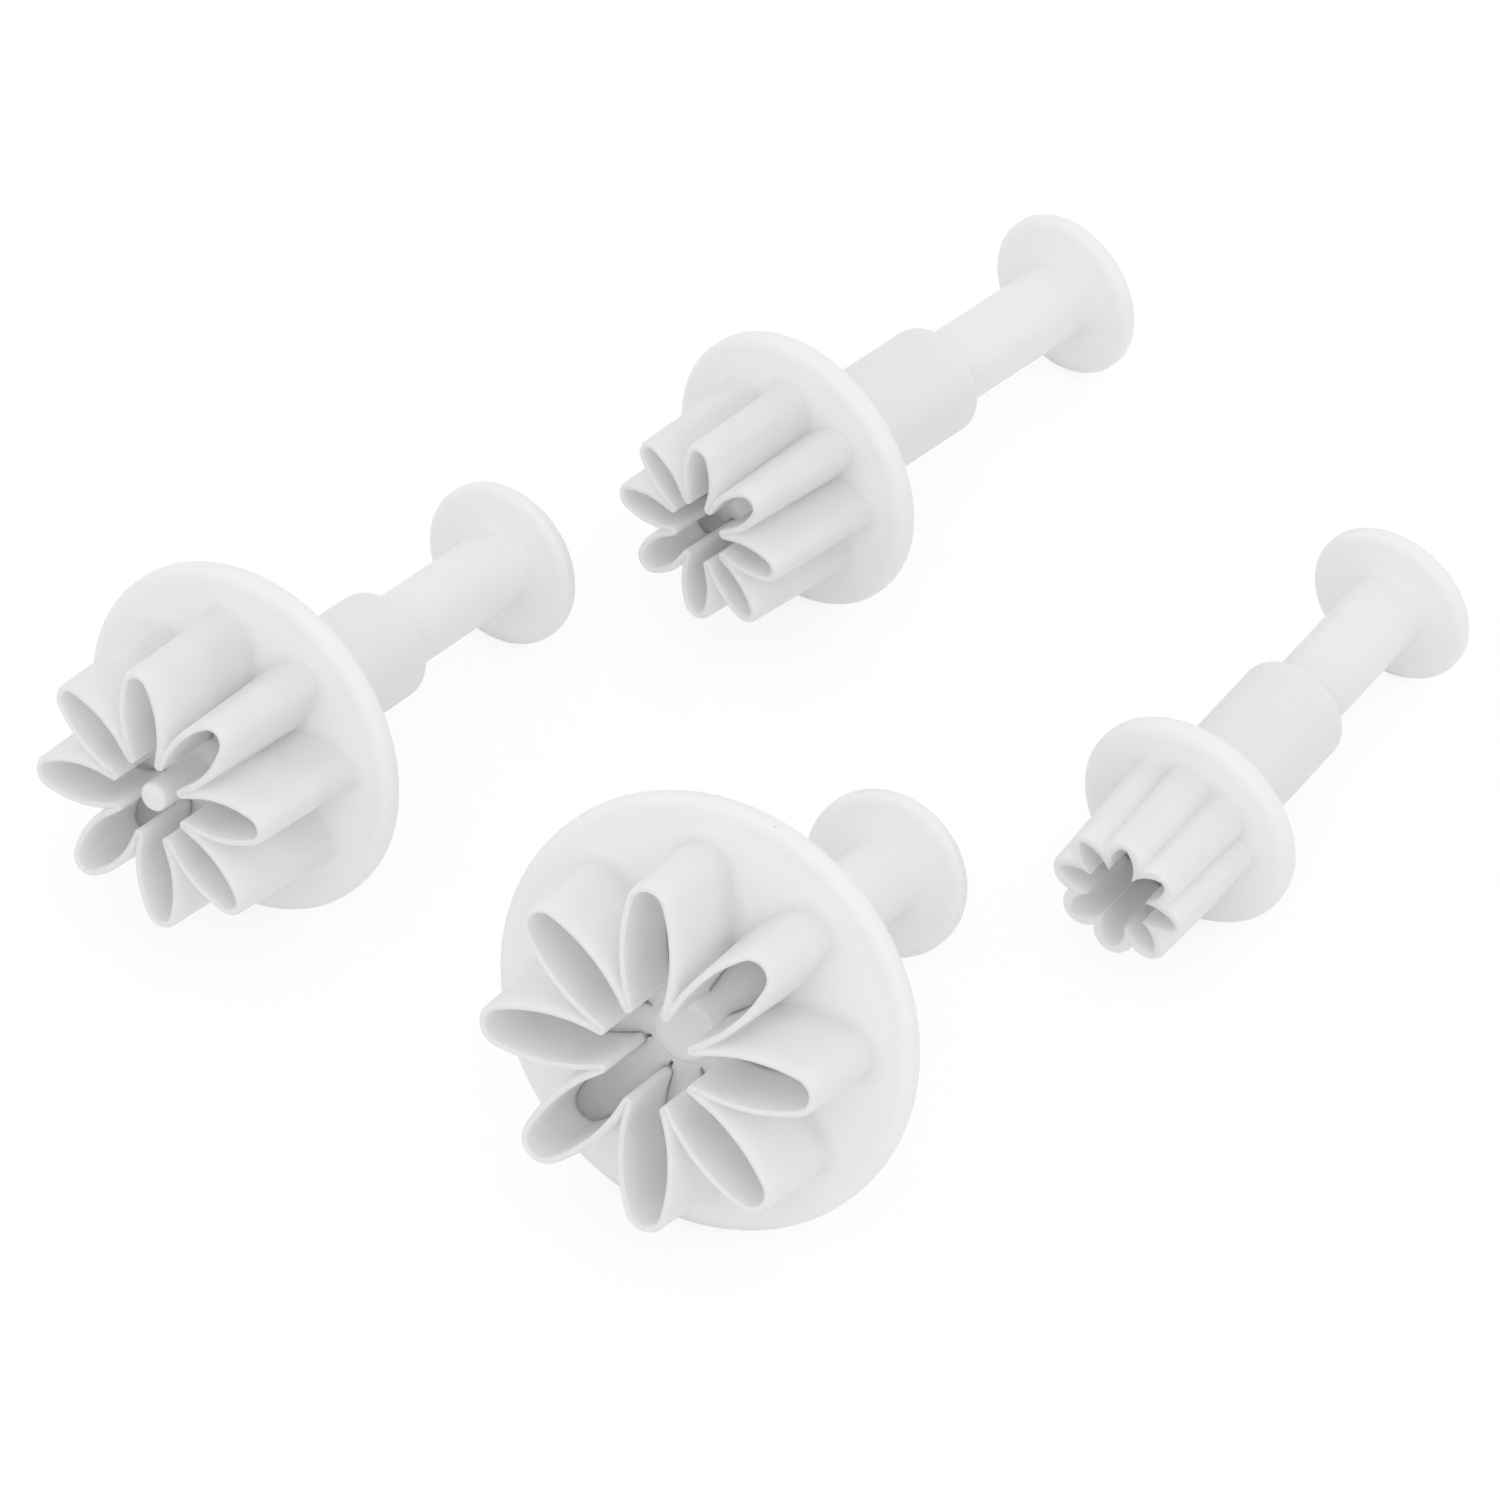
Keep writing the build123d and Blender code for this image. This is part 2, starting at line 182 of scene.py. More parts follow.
class Flower:
    """An eight-petalled outline: each petal has one arc a side and an arc at its tip."""

    def __init__(self, radius, half_width_share, widest_share, valley_share):
        self.radius = radius
        self.half_width = half_width_share * radius
        widest = widest_share * radius
        self.valley = valley_share * radius
        self.meeting = (self.valley * cos(HALF_PETAL), self.valley * sin(HALF_PETAL))
        rise = self.half_width - self.meeting[1]
        self.side_radius = ((widest - self.meeting[0]) ** 2 + rise ** 2) / (2 * rise)
        self.side_centre = (widest, self.half_width - self.side_radius)
        beyond = radius - widest
        self.tip_radius = ((2 * self.side_radius * self.half_width - beyond ** 2 - self.half_width ** 2)
                           / (2 * (self.side_radius - beyond)))
        self.tip_centre = radius - self.tip_radius
        self.tip_angle = atan2(-self.side_centre[1], self.tip_centre - self.side_centre[0])
        self.meeting_angle = atan2(self.meeting[1] - self.side_centre[1],
                                   self.meeting[0] - self.side_centre[0])

    def from_petal(self, reach, angle):
        """Distance from the petal that lies along zero, below zero inside it."""
        x = reach * np.cos(angle)
        y = reach * np.sin(angle)
        side = np.hypot(x - self.side_centre[0], y - self.side_centre[1]) - self.side_radius
        tip = np.hypot(x - self.tip_centre, y) - self.tip_radius
        at_tip = np.arctan2(y, x - self.tip_centre) < self.tip_angle
        return np.where(at_tip, tip, side)

    def from_outline(self, reach, angle, softness):
        """Distance from the whole outline, with the valleys between petals filled softly."""
        near = self.from_petal(reach, angle)
        far = self.from_petal(reach, 2 * HALF_PETAL - angle)
        blend = np.maximum(softness - np.abs(near - far), 0) / softness
        return np.minimum(near, far) - blend * blend * softness / 4

    def in_hollow(self, reach, angle):
        """Distance from the outline to a point inside it, round the corners where petals meet."""
        x = reach * np.cos(angle)
        y = reach * np.sin(angle)
        turn = np.arctan2(y - self.side_centre[1], x - self.side_centre[0])
        corner = -np.hypot(x - self.meeting[0], y - self.meeting[1])
        return np.where(turn > self.meeting_angle, corner, self.from_petal(reach, angle))


def folded(angles):
    """Angles brought into the first half petal."""
    turned = np.mod(angles, 2 * HALF_PETAL)
    return np.minimum(turned, 2 * HALF_PETAL - turned)


def reach_where(inside, angles, furthest, nearest=0.0):
    """How far out along each angle the inside ends."""
    low = np.full_like(angles, nearest)
    high = np.full_like(angles, furthest)
    for halving in range(HALVINGS):
        middle = (low + high) / 2
        within = inside(middle)
        low = np.where(within, middle, low)
        high = np.where(within, high, middle)
    return (low + high) / 2


def outer_reach(flower, angles, growth, softness):
    """Radius of the flower's outside, grown by a length, at each angle."""
    if growth < 0:
        return inner_reach(flower, angles, -growth)
    turned = folded(angles)
    return reach_where(lambda reach: flower.from_outline(reach, turned, softness) < growth,
                       angles, 2 * flower.radius, NEAREST_VALLEY_SHARE * flower.valley)


def inner_reach(flower, angles, depth):
    """Radius of the flower's hollow, a length inside the outline, at each angle."""
    turned = folded(angles)
    return reach_where(lambda reach: flower.in_hollow(reach, turned) < -depth,
                       angles, 2 * flower.radius)


def even_angles(flower, hollow):
    """Angles round the axis that divide the flower's outline about evenly."""
    fine = np.linspace(0, HALF_PETAL, FINE_ANGLES)
    length = np.zeros_like(fine)
    outside = outer_reach(flower, fine, WALL_DRAFT, SPACING_SOFTNESS)
    for reach in (outside, inner_reach(hollow, fine, HOLLOW_CORNER)):
        steps = np.hypot(np.diff(reach), reach[1:] * np.diff(fine))
        length[1:] += np.cumsum(steps)
    half = np.interp(np.linspace(0, length[-1], POINTS_IN_HALF_PETAL + 1), length, fine)
    petal = np.concatenate([half, 2 * HALF_PETAL - half[-2:0:-1]])
    return np.concatenate([petal + number * 2 * HALF_PETAL for number in range(PETALS)])


class Cutter:
    """One cutter's sizes and place. Petal shares are half width, widest place and valley."""

    def __init__(self, name, radius, flange_margin, wall_depth, face_depth, barrel_length, rod_showing,
                 cove, petal_shares, roll, ring_rise=0.0, notch=0.0, stud=False, hollow_shares=None):
        self.name = name
        self.notch = notch
        self.stud = stud
        self.ring_rise = ring_rise
        self.flower = Flower(radius, *petal_shares)
        self.hollow = self.flower
        self.hollow_depth = WALL_THICKNESS
        if hollow_shares:
            self.hollow = Flower(radius - WALL_THICKNESS, *hollow_shares)
            self.hollow_depth = HOLLOW_CORNER
        self.flange_radius = radius + flange_margin
        self.wall_depth = wall_depth
        self.face_depth = face_depth
        self.barrel_start = self.wall_depth + FLANGE_THICKNESS
        self.barrel_end = self.barrel_start + barrel_length
        self.button_start = self.barrel_end + rod_showing
        self.button_end = self.button_start + BUTTON_THICKNESS
        self.cove = cove
        self.travel = self.face_depth + EJECT_OVERRUN
        self.spring_length = self.travel + SPRING_TURNS * WIRE_DIAMETER + SPRING_SPARE
        self.rod_start = self.barrel_start + self.spring_length
        self.angles = even_angles(self.flower, self.hollow)
        joint = next(each for each in frame["joints"] if each["name"] == name + "_plunge")
        mount = next(each for each in frame["record"]["mounts"] if each["name"] == name + "_thumb_face")
        self.axis = -Vector(joint["axis"]).normalized()
        self.edge_centre = Vector(mount["pos_m"]) - self.axis * self.button_end * MILLIMETRE
        heading = atan2(self.axis.y, self.axis.x)
        level = Vector((-sin(heading), cos(heading), 0))
        steep = self.axis.cross(level)
        across = level * cos(radians(roll)) + steep * sin(radians(roll))
        turn = Matrix((across, self.axis.cross(across), self.axis)).transposed()
        self.place = Matrix.Translation(self.edge_centre) @ turn.to_4x4() @ Matrix.Scale(MILLIMETRE, 4)

    def at(self, height):
        """The point on the cutter's axis at a height from its cutting edge, in metres."""
        return self.edge_centre + self.axis * height * MILLIMETRE


cutters = [
    Cutter("extra_large", radius=17.5, flange_margin=4.3, wall_depth=11.6, face_depth=8.0,
           barrel_length=17.0, rod_showing=17.0, cove=1.4, petal_shares=(0.165, 0.60, 0.30), roll=34.2,
           ring_rise=0.35, notch=0.5),
    Cutter("large", radius=13.5, flange_margin=4.4, wall_depth=14.1, face_depth=7.5,
           barrel_length=20.6, rod_showing=18.4, cove=0.8, petal_shares=(0.180, 0.60, 0.33), roll=30.0,
           stud=True),
    Cutter("medium", radius=10.0, flange_margin=4.4, wall_depth=13.9, face_depth=7.0,
           barrel_length=19.8, rod_showing=18.8, cove=0.8, petal_shares=(0.190, 0.62, 0.36), roll=38.8,
           ring_rise=0.12),
    Cutter("small", radius=7.1, flange_margin=4.3, wall_depth=12.4, face_depth=8.5,
           barrel_length=18.3, rod_showing=17.3, cove=0.7, petal_shares=(0.278, 0.71, 0.716), roll=48.2,
           ring_rise=0.12, hollow_shares=(0.212, 0.60, 0.52)),
]


def ring(angles, reach, height):
    """Points round the axis."""
    return np.stack([reach * np.cos(angles), reach * np.sin(angles), height + 0 * angles], axis=1)


def rounded(corners):
    """An outline of radius and height with its corners rounded, and points that hold the flats flat."""
    outline = []
    for number, (radius, height, rounding) in enumerate(corners):
        here = np.array([radius, height], float)
        if not rounding:
            outline.append(here)
            continue
        before = np.array(corners[number - 1][:2], float) - here
        after = np.array(corners[(number + 1) % len(corners)][:2], float) - here
        before /= np.linalg.norm(before)
        after /= np.linalg.norm(after)
        half_corner = np.arccos(np.clip(before @ after, -1, 1)) / 2
        back_off = rounding / tan(half_corner)
        centre = here + (before + after) / np.linalg.norm(before + after) * rounding / sin(half_corner)
        start = here + before * back_off - centre
        end = here + after * back_off - centre
        sweep = np.arccos(np.clip(start @ end / rounding ** 2, -1, 1))
        for step in range(STEPS_IN_ROUND + 1):
            share = step / STEPS_IN_ROUND
            from_start = start * sin((1 - share) * sweep)
            from_end = end * sin(share * sweep)
            outline.append(centre + (from_start + from_end) / sin(sweep))
    held = []
    for here, there in zip(outline, outline[1:]):
        held.append(here)
        run = np.linalg.norm(there - here)
        if run > LONG_FLAT:
            inset = FLAT_INSET / run
            held.append(here + (there - here) * inset)
            held.append(there + (here - there) * inset)
    held.append(outline[-1])
    return held


def skin(name, rings, place, wraps=False):
    """A mesh over rings of points. Its ends are closed, or join each other where it wraps."""
    mesh = bpy.data.meshes.new(name)
    shape = bmesh.new()
    rows = [[shape.verts.new(place @ Vector(point)) for point in points] for points in rings]
    count = len(rows[0])
    pairs = list(zip(rows, rows[1:]))
    if wraps:
        pairs.append((rows[-1], rows[0]))
    for first, second in pairs:
        for number in range(count):
            after = (number + 1) % count
            shape.faces.new((first[number], first[after], second[after], second[number]))
    if not wraps:
        for row, middle in ((rows[0], rings[0].mean(axis=0)), (rows[-1], rings[-1].mean(axis=0))):
            tip = shape.verts.new(place @ Vector(middle))
            for number in range(count):
                shape.faces.new((row[number], row[(number + 1) % count], tip))
    bmesh.ops.recalc_face_normals(shape, faces=shape.faces)
    for face in shape.faces:
        face.smooth = True
    shape.to_mesh(mesh)
    shape.free()
    piece = bpy.data.objects.new(name, mesh)
    bpy.context.scene.collection.objects.link(piece)
    return piece


def linear_colour(code):
    """An sRGB hex colour as linear light."""
    values = []
    for start in (1, 3, 5):
        value = int(code[start:start + 2], 16) / 255
        values.append(value / 12.92 if value <= 0.04045 else ((value + 0.055) / 1.055) ** 2.4)
    return (*values, 1.0)


def add_node(tree, kind, settings=None, links=None):
    """Adds a shader node with its settings and the links into its sockets."""
    node = tree.nodes.new(kind)
    for key, value in (settings or {}).items():
        if isinstance(key, int) or key in node.inputs:
            node.inputs[key].default_value = value
        else:
            setattr(node, key, value)
    for key, source in (links or {}).items():
        tree.links.new(source, node.inputs[key])
    return node


def cutter_skin(cutter):
    """Petal walls, flange and barrel as one skin, from the shaft hole round and back to it."""
    angles = cutter.angles
    even = np.linspace(0, 2 * pi, len(angles), endpoint=False)
    front = cutter.wall_depth
    rings = [ring(angles, SHAFT_HOLE_RADIUS, cutter.barrel_start), ring(angles, SHAFT_HOLE_RADIUS, front)]
    hollow_depth = cutter.hollow_depth
    hollow = inner_reach(cutter.hollow, angles, hollow_depth)
    rings.append(ring(angles, hollow, front))
    for share in HOLLOW_RING_SHARES:
        rings.append(ring(angles, hollow, front * share))
    for step in range(STEPS_IN_ROUND + 1):
        angle = pi / 2 * step / STEPS_IN_ROUND
        depth = hollow_depth - EDGE_ROUND * (1 - cos(angle)) * min(1, hollow_depth / WALL_THICKNESS)
        rings.append(ring(angles, inner_reach(cutter.hollow, angles, depth), EDGE_ROUND * (1 - sin(angle))))
    for step in range(STEPS_IN_ROUND + 1):
        angle = pi / 2 * step / STEPS_IN_ROUND
        growth = -EDGE_ROUND * (1 - sin(angle))
        rings.append(ring(angles, outer_reach(cutter.flower, angles, growth, VALLEY_SOFTNESS / 10),
                          EDGE_ROUND * (1 - cos(angle))))
    cove_start = front - cutter.cove
    for share in WALL_RING_SHARES:
        height = EDGE_BEVEL_DEPTH + (cove_start - EDGE_BEVEL_DEPTH) * share
        growth = EDGE_BEVEL + WALL_DRAFT * share
        reach = outer_reach(cutter.flower, angles, growth, VALLEY_SOFTNESS * (1 + share))
        rings.append(ring(angles, reach, height))
    rim_start = cutter.flange_radius - FLANGE_RIM_WIDTH - FLANGE_RIM_SLOPE
    rim_front = front - FLANGE_RIM_RISE
    rim_flat = cutter.flange_radius - FLANGE_RIM_ROUND - RIM_INSET
    profile = rounded([
        (SHAFT_HOLE_RADIUS, front, 0),
        (rim_start, front, FLANGE_HOLLOW_ROUND),
        (cutter.flange_radius - FLANGE_RIM_WIDTH, rim_front, FLANGE_HOLLOW_ROUND / 2),
        (cutter.flange_radius, rim_front, FLANGE_RIM_ROUND),
        (cutter.flange_radius, cutter.barrel_start, FLANGE_RIM_ROUND),
        (BARREL_RADIUS, cutter.barrel_start, BARREL_FOOT_ROUND),
        (BARREL_RADIUS, cutter.barrel_end, BARREL_MOUTH_ROUND),
        (BORE_RADIUS, cutter.barrel_end, BORE_MOUTH_ROUND),
        (BORE_RADIUS, cutter.barrel_start, 0),
    ])
    dish = [point for point in profile if point[0] <= rim_flat and point[1] < front + LEVEL_SLACK]

    def flange_height(reach):
        return np.interp(reach, [point[0] for point in dish], [point[1] for point in dish])

    for step in range(STEPS_IN_COVE + 1):
        angle = pi / 2 * step / STEPS_IN_COVE
        growth = EDGE_BEVEL + WALL_DRAFT + cutter.cove * (1 - cos(angle))
        softness = VALLEY_SOFTNESS * 2 + COVE_SOFTNESS_SHARE * cutter.cove * step / STEPS_IN_COVE
        last = np.minimum(outer_reach(cutter.flower, angles, growth, softness), rim_flat - RIM_INSET)
        height = cove_start + cutter.cove * sin(angle)
        rings.append(ring(angles, last, np.minimum(height, flange_height(last))))
    for step in range(1, STEPS_ON_FLANGE + 1):
        share = 1 - (1 - step / STEPS_ON_FLANGE) ** 2
        relaxed = angles + (even - angles) * share
        reach = last + (rim_flat - last) * share
        rings.append(ring(relaxed, reach, flange_height(reach)))
    for radius, height in profile:
        if radius > rim_flat or height > front + LEVEL_SLACK:
            rings.append(ring(even, radius, height))
    return skin(cutter.name + "_moulded_cutter", rings, cutter.place, wraps=True)


def handle_skin(cutter):
    """The rod and thumb button."""
    rim_front = cutter.button_start - BUTTON_RIM_RISE
    angles = np.linspace(0, 2 * pi, POINTS_ROUND_HANDLE, endpoint=False)
    profile = rounded([
        (BUTTON_CAP_RADIUS, cutter.rod_start + SOCKET_DEPTH, 0),
        (SOCKET_RADIUS, cutter.rod_start + SOCKET_DEPTH, 0),
        (SOCKET_RADIUS, cutter.rod_start, 0),
        (ROD_RADIUS, cutter.rod_start, ROD_CHAMFER),
        (ROD_RADIUS, cutter.button_start, BUTTON_ROOT_ROUND),
        (BUTTON_RADIUS - BUTTON_RIM_WIDTH - BUTTON_RIM_SLOPE, cutter.button_start, BUTTON_HOLLOW_ROUND),
        (BUTTON_RADIUS - BUTTON_RIM_WIDTH, rim_front, BUTTON_HOLLOW_ROUND / 2),
        (BUTTON_RADIUS, rim_front, BUTTON_RIM_ROUND),
        (BUTTON_RADIUS, cutter.button_end, BUTTON_RIM_ROUND),
        (BUTTON_CAP_RADIUS, cutter.button_end, 0),
    ])
    rings = [ring(angles, radius, height) for radius, height in profile]
    return skin(cutter.name + "_moulded_handle", rings, cutter.place)


def smooth_rise(value, start, end):
    """Zero before the start, one after the end, and a smooth rise between."""
    share = np.clip((value - start) / (end - start), 0, 1)
    return share * share * (3 - 2 * share)


def embosser_middle(cutter, ring_radius):
    """Outline of the embosser's middle: a stud, or a raised ring with a round dimple in it."""
    face = cutter.face_depth
    if cutter.stud:
        return rounded([
            (STUD_CAP_RADIUS, STUD_REACH, 0),
            (STUD_RADIUS, STUD_REACH, STUD_ROUND),
            (STUD_RADIUS, face, STUD_FOOT_ROUND),
            (ring_radius, face, 0),
        ])
    top = face - cutter.ring_rise
    mouth = DIMPLE_SHARE * ring_radius
    depth = DIMPLE_DEPTH_SHARE * ring_radius
    ball = (mouth ** 2 + depth ** 2) / (2 * depth)
    bowl = []
    for share in BOWL_RING_SHARES:
        radius = mouth * share
        bowl.append(np.array([radius, top + depth - ball + sqrt(ball ** 2 - radius ** 2)]))
    lip = rounded([
        tuple(bowl[-1]) + (0,),
        (mouth, top, DIMPLE_LIP_ROUND),
        (ring_radius - RING_ROUND, top, RING_ROUND / 2),
        (ring_radius, face, RING_ROUND / 2),
        (ring_radius + RING_ROUND, face, 0),
    ])
    return bowl[:-1] + lip


def embosser_skin(cutter):
    """The petal plate with its dished petals and middle, its hub and its shaft."""
    angles = cutter.angles
    turned = folded(angles)
    hollow = cutter.hollow
    face = cutter.face_depth
    depth = cutter.hollow_depth + EMBOSSER_GAP
    tip = hollow.valley - depth

    def in_plate(reach, inset):
        within = hollow.in_hollow(reach, turned) < -depth - inset
        if not cutter.notch:
            return within
        off_valley = reach * np.sin(HALF_PETAL - turned)
        past = reach * np.cos(HALF_PETAL - turned) - (tip - cutter.notch)
        slot = np.hypot(np.minimum(past, 0), off_valley)
        return within & (slot > NOTCH_HALF_WIDTH + inset)

    def plate_reach(inset):
        return reach_where(lambda reach: in_plate(reach, inset), angles, 2 * hollow.radius)

    def plate_height(reach):
        x = reach * np.cos(turned)
        y = reach * np.sin(turned)
        half_width = hollow.half_width - depth
        groove = np.maximum(1 - (y / half_width) ** 2, 0)
        start = DISH_START_SHARE * hollow.radius
        begun = smooth_rise(x, start, DISH_FULL_SHARE * hollow.radius)
        return face + begun * (DISH_DEPTH * groove + DISH_FALL * np.maximum(x - start, 0))

    ring_radius = tip - cutter.notch - RING_SETBACK - RING_ROUND - NOTCH_HALF_WIDTH * bool(cutter.notch)
    middle = embosser_middle(cutter, ring_radius)
    rings = [ring(angles, radius, height) for radius, height in middle]
    inner = middle[-1][0]
    edge = plate_reach(PLATE_EDGE_ROUND)
    for step in range(1, STEPS_ON_PLATE + 1):
        reach = inner + (edge - inner) * step / STEPS_ON_PLATE
        rings.append(ring(angles, reach, plate_height(reach)))
    drop = plate_height(edge)
    for step in range(1, STEPS_IN_ROUND + 1):
        angle = pi / 2 * step / STEPS_IN_ROUND
        reach = plate_reach(PLATE_EDGE_ROUND * (1 - sin(angle)))
        rings.append(ring(angles, reach, drop + PLATE_EDGE_ROUND * (1 - cos(angle))))
    back = face + PLATE_THICKNESS
    rings.append(ring(angles, reach, back))
    hub = min(HUB_RADIUS, tip)
    hub_end = cutter.wall_depth - HUB_GAP
    shaft_end = cutter.rod_start + SOCKET_DEPTH
    for radius, height in ((hub, back), (hub, hub_end), (SHAFT_RADIUS, hub_end),
                           (SHAFT_RADIUS, shaft_end - SHAFT_CHAMFER),
                           (SHAFT_RADIUS - SHAFT_CHAMFER, shaft_end)):
        rings.append(ring(angles, radius, height))
    return skin(cutter.name + "_moulded_embosser", rings, cutter.place)


def spring_wire(cutter):
    """The return spring: one wire in even turns that lie down at both ends."""
    low = cutter.barrel_start + SPRING_SEAT_GAP + WIRE_DIAMETER / 2
    high = cutter.rod_start - SPRING_SEAT_GAP - WIRE_DIAMETER / 2
    steps = SPRING_TURNS * STEPS_IN_TURN
    rings = []
    around = np.linspace(0, 2 * pi, POINTS_ROUND_WIRE, endpoint=False)
    climb = [smooth_rise(step / steps, -SPRING_EASE, 1 + SPRING_EASE) for step in range(steps + 1)]
    for step in range(steps + 1):
        share = (climb[step] - climb[0]) / (climb[-1] - climb[0])
        share = 0.5 * share + 0.5 * step / steps
        turn = 2 * pi * SPRING_TURNS * step / steps
        reach = SPRING_RADIUS + WIRE_DIAMETER / 2 * np.cos(around)
        height = low + (high - low) * share + WIRE_DIAMETER / 2 * np.sin(around)
        rings.append(np.stack([reach * cos(turn), reach * sin(turn), height], axis=1))
    return skin(cutter.name + "_spring_wire", rings, cutter.place)


def moulded_plastic(name, light, shade, roughness, offset):
    """ABS, injection moulded in white: even colour, soft gloss, and barely uneven skin.

    Light goes a little way into it, so its thin walls glow. The gloss wanders over a few millimetres
    where the plastic flowed, the skin keeps the fine texture of the mould, drawn coarse enough to
    show, and here and there a speck of dust sits in it.
    """
    material = bpy.data.materials.new(name)
    material.use_nodes = True
    tree = material.node_tree
    tree.nodes.clear()
    where = add_node(tree, "ShaderNodeTexCoord").outputs["Object"]
    moved = add_node(tree, "ShaderNodeMapping", {"Location": (offset, offset / 2, 0)}, {"Vector": where})
    place = moved.outputs["Vector"]
    flow = add_node(tree, "ShaderNodeTexNoise", {"Scale": 1 / (FLOW_WIDTH * MILLIMETRE), "Detail": 3.0},
                    {"Vector": place})
    grain = add_node(tree, "ShaderNodeTexNoise", {"Scale": 1 / (GRAIN_WIDTH * MILLIMETRE), "Detail": 2.0},
                     {"Vector": place})
    cells = add_node(tree, "ShaderNodeTexVoronoi", {"Scale": 1 / (SPECK_SPACING * MILLIMETRE)},
                     {"Vector": place})
    near = add_node(tree, "ShaderNodeMath", {"operation": "LESS_THAN", 1: SPECK_WIDTH / SPECK_SPACING / 2},
                    {0: cells.outputs["Distance"]})
    chosen = add_node(tree, "ShaderNodeMath", {"operation": "LESS_THAN", 1: SPECK_SHARE},
                      {0: cells.outputs["Color"]})
    speck = add_node(tree, "ShaderNodeMath", {"operation": "MULTIPLY"},
                     {0: near.outputs[0], 1: chosen.outputs[0]})
    body = add_node(tree, "ShaderNodeMix", {"data_type": "RGBA"}, {0: flow.outputs["Fac"]})
    body.inputs[6].default_value = linear_colour(light)
    body.inputs[7].default_value = linear_colour(shade)
    dusty = add_node(tree, "ShaderNodeMix", {"data_type": "RGBA"},
                     {0: speck.outputs[0], 6: body.outputs[2]})
    dusty.inputs[7].default_value = linear_colour("#b9b6b0")
    gloss = add_node(tree, "ShaderNodeMapRange",
                     {"To Min": roughness - GLOSS_SPREAD, "To Max": roughness + GLOSS_SPREAD},
                     {"Value": flow.outputs["Fac"]})
    bump = add_node(tree, "ShaderNodeBump", {"Strength": 0.25, "Distance": GRAIN_HEIGHT * MILLIMETRE},
                    {"Height": grain.outputs["Fac"]})
    shader = add_node(tree, "ShaderNodeBsdfPrincipled", {
        "IOR": 1.53,
        "Subsurface Weight": 1.0,
        "Subsurface Scale": GLOW_DEPTH * MILLIMETRE,
    }, {
        "Base Color": dusty.outputs[2],
        "Roughness": gloss.outputs["Result"],
        "Normal": bump.outputs["Normal"],
    })
    shader.inputs["Subsurface Radius"].default_value = (1.0, 1.0, 1.0)
    add_node(tree, "ShaderNodeOutputMaterial", None, {"Surface": shader.outputs[0]})
    return material


def drawn_wire(name):
    """Stainless spring wire, drawn: bright grey with fine lines along it from the die."""
    material = bpy.data.materials.new(name)
    material.use_nodes = True
    tree = material.node_tree
    tree.nodes.clear()
    where = add_node(tree, "ShaderNodeTexCoord").outputs["Object"]
    lines = add_node(tree, "ShaderNodeTexNoise",
                     {"Scale": 1 / (DIE_LINE_WIDTH * MILLIMETRE), "Detail": 2.0}, {"Vector": where})
    polish = add_node(tree, "ShaderNodeMapRange", {"To Min": 0.2, "To Max": 0.38},
                      {"Value": lines.outputs["Fac"]})
    shader = add_node(tree, "ShaderNodeBsdfPrincipled",
                      {"Base Color": linear_colour("#b4b5b7"), "Metallic": 1.0},
                      {"Roughness": polish.outputs["Result"]})
    add_node(tree, "ShaderNodeOutputMaterial", None, {"Surface": shader.outputs[0]})
    return material


def dress(piece, material, node, body):
    """Puts a piece in place of a node, on its body, in its finish."""
    piece.data.materials.append(material)
    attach(piece, body)
    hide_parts(node)


scene = bpy.context.scene
cutter_plastic = moulded_plastic("white ABS, moulded cutter", "#fbfbfb", "#f8f8f8", 0.38, 0.0)
handle_plastic = moulded_plastic("white ABS, moulded handle", "#fbfbfb", "#f8f8f8", 0.36, 0.31)
embosser_plastic = moulded_plastic("white ABS, moulded embosser", "#fbfbfb", "#f8f8f8", 0.42, 0.57)
spring_steel = drawn_wire("stainless steel, drawn wire")

for cutter in cutters:
    body = cutter.name + "_body"
    plunger = cutter.name + "_plunger"
    dress(cutter_skin(cutter), cutter_plastic, cutter.name + "_cutter", body)
    dress(handle_skin(cutter), handle_plastic, cutter.name + "_handle", plunger)
    dress(embosser_skin(cutter), embosser_plastic, cutter.name + "_embosser", plunger)
    wire = spring_wire(cutter)
    dress(wire, spring_steel, cutter.name + "_spring", body)
    cutter.at(cutter.barrel_start)
    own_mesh(wire)


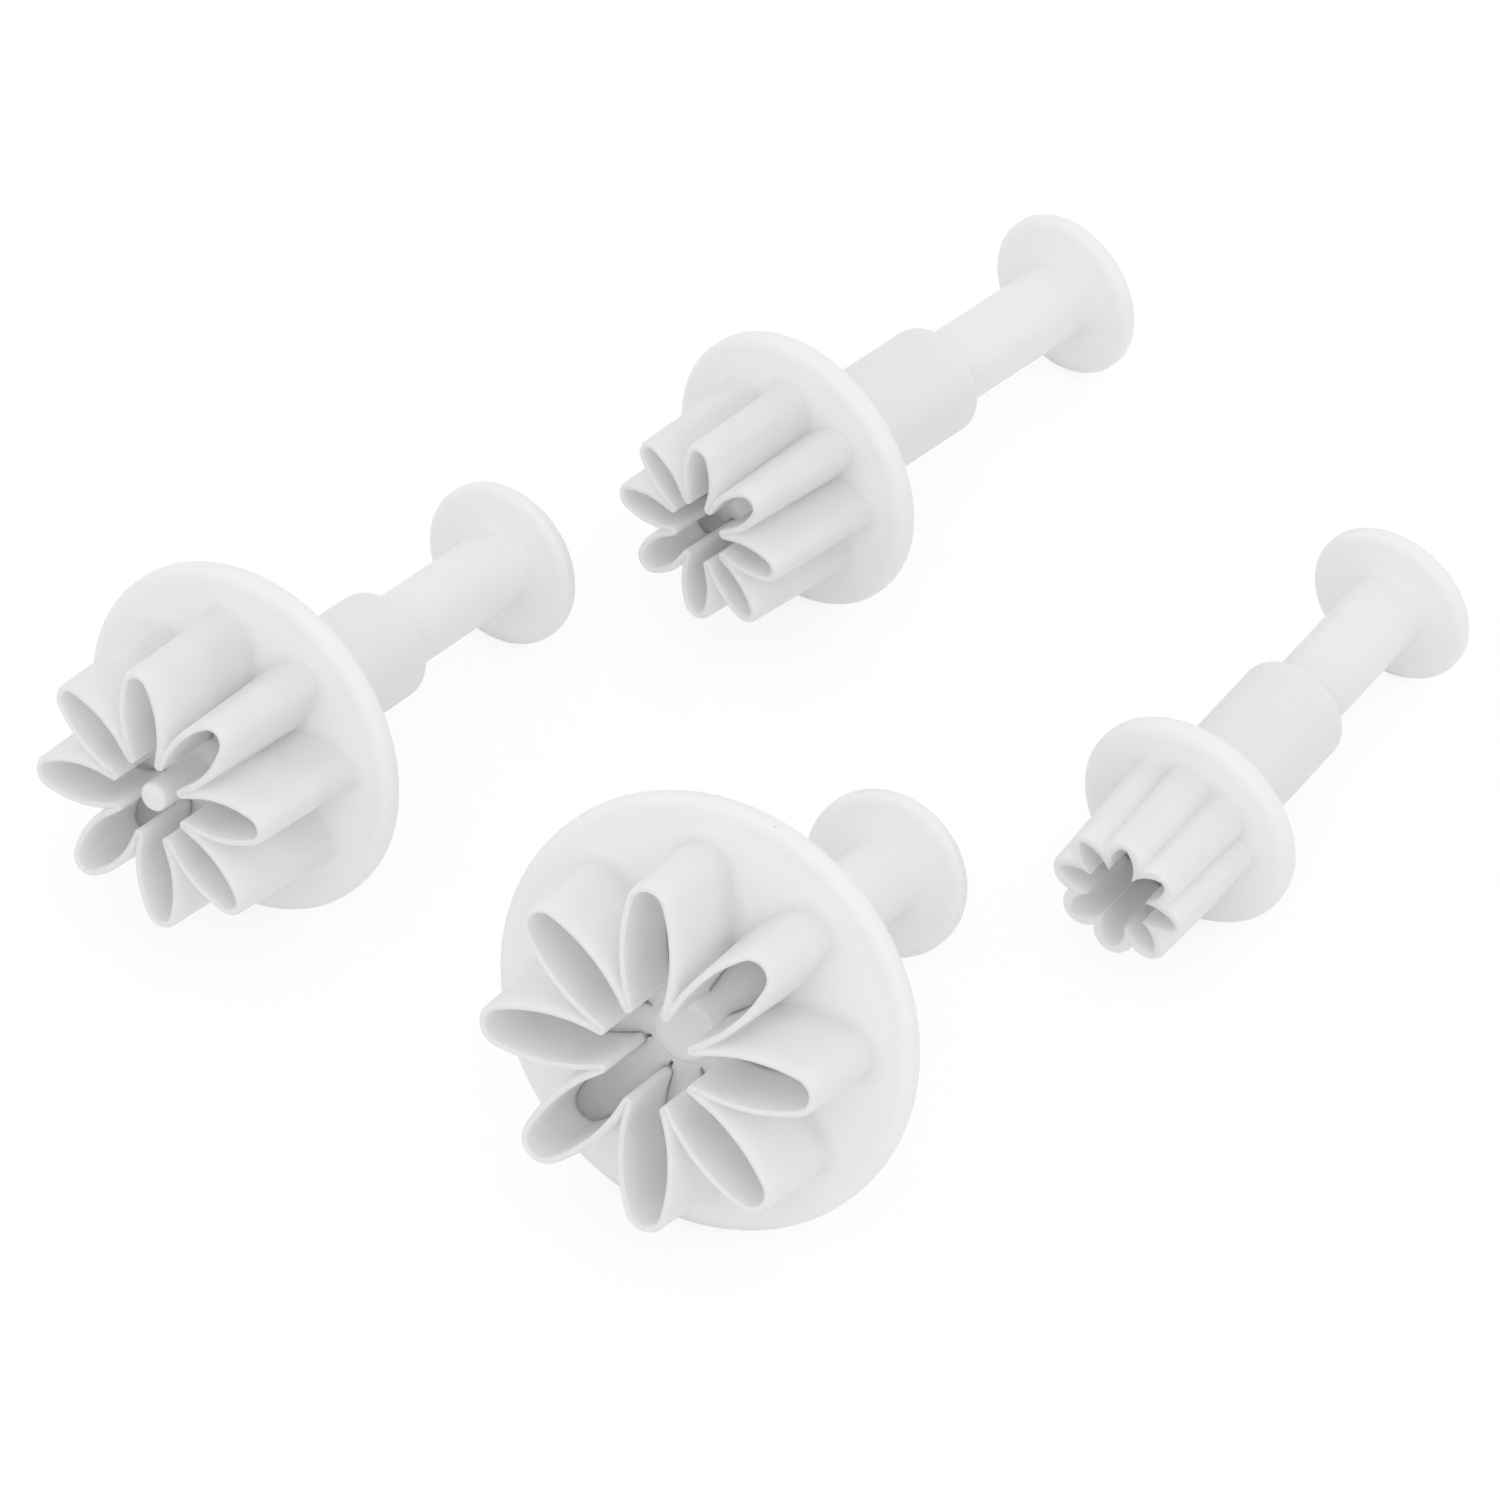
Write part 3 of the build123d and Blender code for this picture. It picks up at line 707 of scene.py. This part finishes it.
def lay_floor():
    """The pale sweep that the set lies on. It shows white, and keeps the set's soft shadow."""
    mesh = bpy.data.meshes.new("floor")
    half = FLOOR_SPAN / 2
    corners = [(-half, -half, 0), (half, -half, 0), (half, half, 0), (-half, half, 0)]
    mesh.from_pydata(corners, [], [(0, 1, 2, 3)])
    floor = bpy.data.objects.new("floor", mesh)
    scene.collection.objects.link(floor)
    paper = bpy.data.materials.new("white paper sweep")
    paper.use_nodes = True
    tree = paper.node_tree
    tree.nodes.clear()
    light_path = add_node(tree, "ShaderNodeLightPath")
    seen = add_node(tree, "ShaderNodeMath", {"operation": "MAXIMUM"},
                    {0: light_path.outputs["Is Camera Ray"], 1: light_path.outputs["Is Glossy Ray"]})
    lift = add_node(tree, "ShaderNodeMath", {"operation": "MULTIPLY", 1: FLOOR_LIFT}, {0: seen.outputs[0]})
    white = add_node(tree, "ShaderNodeMapRange", {"To Min": FLOOR_WHITE, "To Max": FLOOR_SEEN_WHITE},
                     {"Value": seen.outputs[0]})
    diffuse = add_node(tree, "ShaderNodeBsdfDiffuse", None, {"Color": white.outputs["Result"]})
    glow = add_node(tree, "ShaderNodeEmission", {"Color": (1, 1, 1, 1)}, {"Strength": lift.outputs[0]})
    both = add_node(tree, "ShaderNodeAddShader", None, {0: diffuse.outputs[0], 1: glow.outputs[0]})
    add_node(tree, "ShaderNodeOutputMaterial", None, {"Surface": both.outputs[0]})
    mesh.materials.append(paper)


def light_studio():
    """An even white room, and one broad soft lamp above the camera's side."""
    world = bpy.data.worlds.new("studio")
    scene.world = world
    world.use_nodes = True
    tree = world.node_tree
    tree.nodes.clear()
    light_path = add_node(tree, "ShaderNodeLightPath")
    seen = add_node(tree, "ShaderNodeMath", {"operation": "MAXIMUM"},
                    {0: light_path.outputs["Is Camera Ray"], 1: light_path.outputs["Is Glossy Ray"]})
    strength = add_node(tree, "ShaderNodeMapRange", {"To Min": ROOM_LIGHT, "To Max": 1.0},
                        {"Value": seen.outputs[0]})
    background = add_node(tree, "ShaderNodeBackground", {"Color": (1, 1, 1, 1)},
                          {"Strength": strength.outputs["Result"]})
    add_node(tree, "ShaderNodeOutputWorld", None, {"Surface": background.outputs[0]})
    lamp = bpy.data.lights.new("softbox", "AREA")
    lamp.shape = "DISK"
    lamp.size = LAMP_SIZE
    lamp.energy = LAMP_POWER
    softbox = bpy.data.objects.new("softbox", lamp)
    softbox.location = LAMP_PLACE
    softbox.rotation_euler = (-Vector(LAMP_PLACE)).to_track_quat("-Z", "Y").to_euler()
    scene.collection.objects.link(softbox)
    scene.view_settings.view_transform = "Standard"


def set_camera():
    """The camera, looking down at the middle of the set."""
    target = Vector(CAMERA_TARGET) * MILLIMETRE
    tilt = radians(CAMERA_ELEVATION)
    camera_data = bpy.data.cameras.new("camera")
    camera_data.lens = CAMERA_LENS
    camera_data.sensor_width = CAMERA_SENSOR
    camera = bpy.data.objects.new("camera", camera_data)
    camera.location = target + Vector((0, -cos(tilt), sin(tilt))) * CAMERA_DISTANCE * MILLIMETRE
    camera.rotation_euler = (pi / 2 - tilt, 0, 0)
    scene.collection.objects.link(camera)
    scene.camera = camera


lay_floor()
light_studio()
set_camera()
